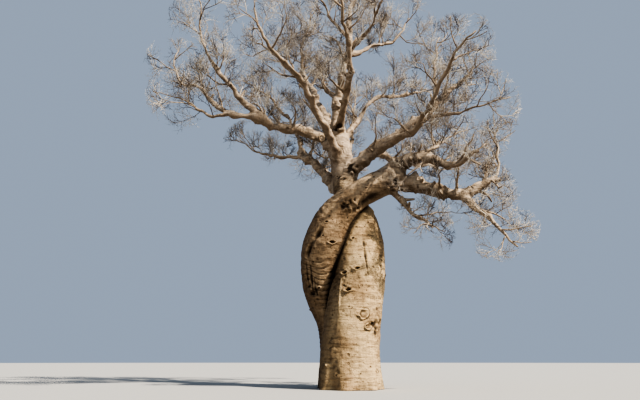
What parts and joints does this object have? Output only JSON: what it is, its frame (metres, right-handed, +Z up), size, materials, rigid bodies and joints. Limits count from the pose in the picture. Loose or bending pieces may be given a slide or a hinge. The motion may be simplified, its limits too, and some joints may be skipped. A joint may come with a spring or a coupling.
{
  "type": "bare baobab tree",
  "caption": "Leafless baobab whose swollen stems rise from one root, wind round each other and spread a wide bare crown of boughs and twigs.",
  "frame": {"origin": "in the level cut at the ground, between the centres of the two feet, on the upright stem's wood", "axes": "+Z up, +X towards the side where the winding stem carries its boughs, +Y away from the side that the picture shows"},
  "size_m": [20.9951, 16.7884, 24.6612],
  "materials": {
    "upright_bark": "smooth greyish tan bark with knots, pits and fine cracks, greyer on the boughs",
    "winding_bark": "smooth warm tan bark with wrinkles across it and knots, greyer on the boughs",
    "twig_bark": "matte pale grey twigs"
  },
  "bodies": {
    "root": {"upright_stem": "upright_bark", "winding_stem": "winding_bark", "top_bough": "upright_bark", "northwest_bough": "upright_bark", "arch_bough": "upright_bark", "south_bough": "upright_bark", "north_top_bough": "upright_bark", "west_bough": "upright_bark", "east_high_bough": "upright_bark", "low_west_bough": "upright_bark", "north_bough": "upright_bark", "northeast_bough": "upright_bark", "south_west_bough": "upright_bark", "east_middle_bough": "winding_bark", "east_low_bough": "winding_bark", "east_small_bough": "winding_bark", "south_east_bough": "upright_bark", "west_reach_bough": "upright_bark", "west_tip_bough": "upright_bark", "west_high_bough": "upright_bark", "low_west_high_bough": "upright_bark", "low_west_side_bough": "upright_bark", "northwest_upright_bough": "upright_bark", "top_west_bough": "upright_bark", "top_east_bough": "upright_bark", "top_south_bough": "upright_bark", "east_high_upright_bough": "upright_bark", "east_high_side_bough": "upright_bark", "east_middle_upright_bough": "winding_bark", "east_low_upright_bough": "winding_bark", "east_hanging_bough": "winding_bark", "north_high_bough": "upright_bark", "top_twigs": "twig_bark", "northwest_twigs": "twig_bark", "arch_twigs": "twig_bark", "south_twigs": "twig_bark", "north_top_twigs": "twig_bark", "east_high_twigs": "twig_bark", "north_twigs": "twig_bark", "northeast_twigs": "twig_bark", "south_west_twigs": "twig_bark", "east_middle_twigs": "twig_bark", "east_low_twigs": "twig_bark", "east_small_twigs": "twig_bark", "south_east_twigs": "twig_bark", "west_reach_twigs": "twig_bark", "west_tip_twigs": "twig_bark", "west_high_twigs": "twig_bark", "low_west_high_twigs": "twig_bark", "low_west_side_twigs": "twig_bark", "northwest_upright_twigs": "twig_bark", "top_west_twigs": "twig_bark", "top_east_twigs": "twig_bark", "top_south_twigs": "twig_bark", "east_high_upright_twigs": "twig_bark", "east_high_side_twigs": "twig_bark", "east_middle_upright_twigs": "twig_bark", "east_low_upright_twigs": "twig_bark", "east_hanging_twigs": "twig_bark", "north_high_twigs": "twig_bark"}
  },
  "joints": []
}
